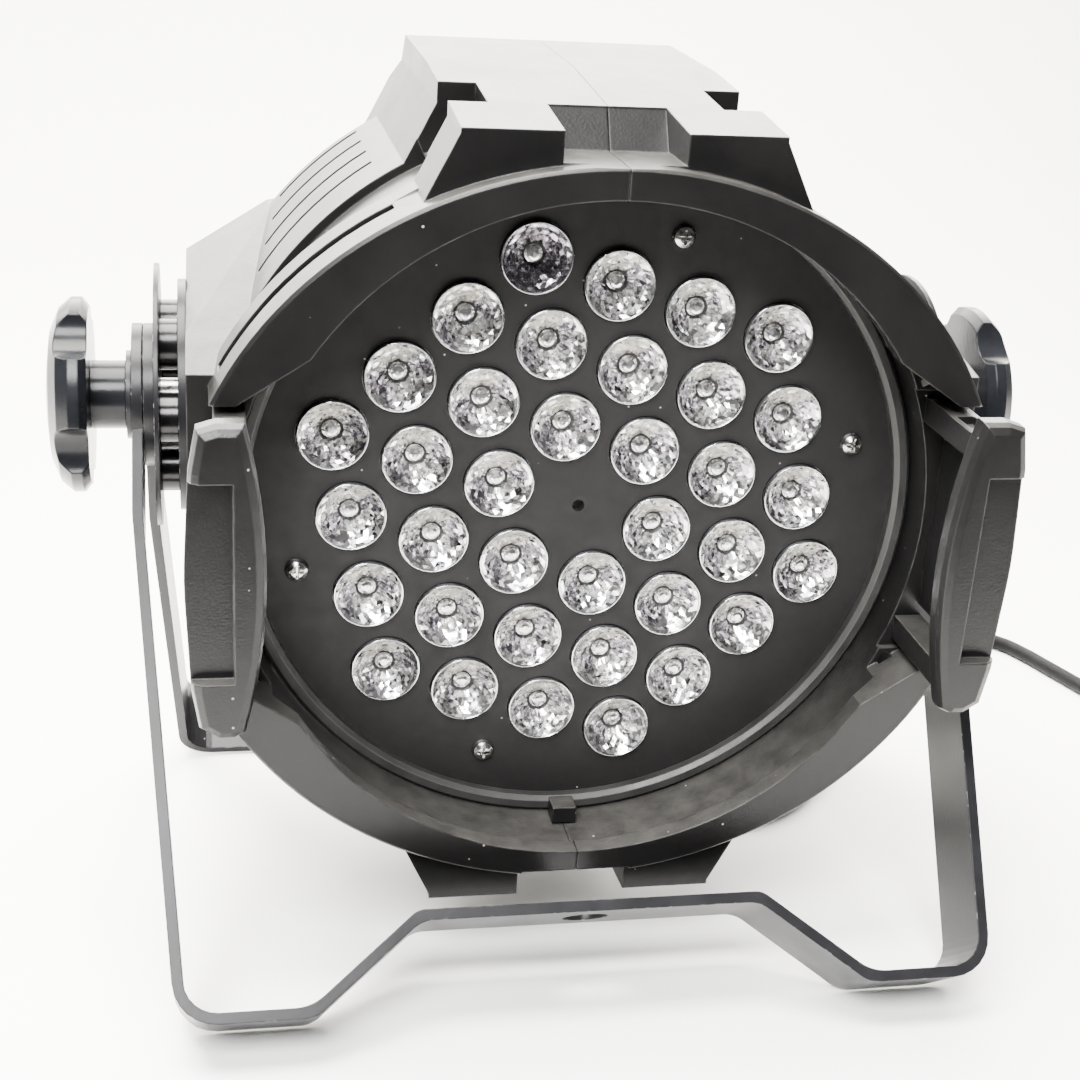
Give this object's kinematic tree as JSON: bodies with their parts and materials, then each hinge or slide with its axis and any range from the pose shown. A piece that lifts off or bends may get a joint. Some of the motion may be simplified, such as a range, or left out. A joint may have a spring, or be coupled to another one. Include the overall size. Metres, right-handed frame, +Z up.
{
  "type": "par can light",
  "caption": "Black cast par can light with round lens plate, accessory arms, two strap yokes on hand knobs, rear panel and mains lead.",
  "frame": {"origin": "on the floor under the middle of the lamp without its cord; the pivots are straight above it", "axes": "+Z up, -Y the way the lamp shines, +X to the right of a viewer who looks into the lamp"},
  "size_m": [0.5032, 0.3093, 0.2604],
  "materials": {
    "cast_black": "satin black powder coat over a pressure casting",
    "yoke_black": "satin black paint on steel strap",
    "plate_black": "matt black paint",
    "bezel_grey": "worn satin black, grey on the edge",
    "lens_clear": "clear moulded acrylic, pebbled",
    "cup_black": "matt moulding",
    "board_white": "white solder mask",
    "chip_yellow": "phosphor coated",
    "sink_aluminium": "mill finish",
    "screw_chrome": "bright plated",
    "zinc_steel": "zinc plated",
    "knob_grey": "satin dark grey moulding",
    "rubber_black": "black rubber",
    "fan_black": "black moulding",
    "pcb_green": "green solder mask",
    "part_yellow": "wound and wrapped parts",
    "brass": "turned",
    "window_red": "smoked red window",
    "button_black": "moulded cap",
    "cord_black": "black sheath"
  },
  "bodies": {
    "head": {"shell_left": "cast_black", "shell_right": "cast_black", "arm_left": "cast_black", "arm_right": "cast_black", "seam_clip": "cast_black", "shell_screws": "zinc_steel", "lens_plate": "plate_black", "plate_bezel": "bezel_grey", "plate_screws": "screw_chrome", "plate_posts": "zinc_steel", "lenses": "lens_clear", "lens_cups": "cup_black", "led_board": "board_white", "led_chips": "chip_yellow", "heat_sink": "sink_aluminium", "fan_frame": "fan_black", "psu_board": "pcb_green", "psu_parts": "part_yellow", "psu_posts": "brass", "rear_cover": "cast_black", "rear_screws": "zinc_steel", "control_board": "pcb_green", "display_window": "window_red", "dmx_in": "cup_black", "dmx_out": "cup_black", "dmx_pins": "screw_chrome", "fuse_holder": "cup_black", "safety_eye": "zinc_steel", "cable_gland": "cup_black", "cord_relief": "cord_black", "power_cord": "cord_black", "cord_coil": "cord_black", "cord_tail": "cord_black", "plug_body": "cord_black", "plug_pins": "screw_chrome", "insert_left": "brass", "insert_right": "brass", "hub_disc_left": "yoke_black", "hub_disc_right": "yoke_black", "hub_posts_left": "rubber_black", "hub_posts_right": "rubber_black", "friction_disc_left": "yoke_black", "friction_disc_right": "yoke_black"},
    "yoke_front": {"yoke_front": "yoke_black"},
    "yoke_rear": {"yoke_rear": "yoke_black"},
    "left_knob": {"knob_left": "knob_grey", "stud_left": "zinc_steel", "washer_left": "yoke_black"},
    "right_knob": {"knob_right": "knob_grey", "stud_right": "zinc_steel", "washer_right": "yoke_black"},
    "fan": {"fan_rotor": "fan_black"},
    "menu": {"button_menu": "button_black"},
    "up": {"button_up": "button_black"},
    "down": {"button_down": "button_black"},
    "enter": {"button_enter": "button_black"},
    "fuse": {"fuse_cap": "cup_black"}
  },
  "joints": [
    {"name": "front_yoke_tilt", "type": "hinge", "parent": "head", "child": "yoke_front", "pos_m": [0, 0, 0.15572], "axis": [1, 0, 0], "range_deg": [-110, 22]},
    {"name": "rear_yoke_tilt", "type": "hinge", "parent": "head", "child": "yoke_rear", "pos_m": [0, 0, 0.15572], "axis": [1, 0, 0], "range_deg": [0, 110]},
    {"name": "left_knob_turn", "type": "hinge", "parent": "head", "child": "left_knob", "pos_m": [0, 0, 0.15572], "axis": [-1, 0, 0], "continuous": true},
    {"name": "right_knob_turn", "type": "hinge", "parent": "head", "child": "right_knob", "pos_m": [0, 0, 0.15572], "axis": [1, 0, 0], "continuous": true},
    {"name": "fan_spin", "type": "hinge", "parent": "head", "child": "fan", "pos_m": [0, -0.00063, 0.14258], "axis": [0, 0.9945, 0.1045], "continuous": true},
    {"name": "fuse_turn", "type": "hinge", "parent": "head", "child": "fuse", "pos_m": [-0.034, 0.07704, 0.09242], "axis": [0, 0.9945, 0.1045], "range_deg": [0, 60]},
    {"name": "menu_press", "type": "slide", "parent": "head", "child": "menu", "axis": [0, -0.9945, -0.1045], "range_m": [0, 0.001], "stiffness_N_per_m": 300, "springref_m": -0.002},
    {"name": "up_press", "type": "slide", "parent": "head", "child": "up", "axis": [0, -0.9945, -0.1045], "range_m": [0, 0.001], "stiffness_N_per_m": 300, "springref_m": -0.002},
    {"name": "down_press", "type": "slide", "parent": "head", "child": "down", "axis": [0, -0.9945, -0.1045], "range_m": [0, 0.001], "stiffness_N_per_m": 300, "springref_m": -0.002},
    {"name": "enter_press", "type": "slide", "parent": "head", "child": "enter", "axis": [0, -0.9945, -0.1045], "range_m": [0, 0.001], "stiffness_N_per_m": 300, "springref_m": -0.002}
  ]
}
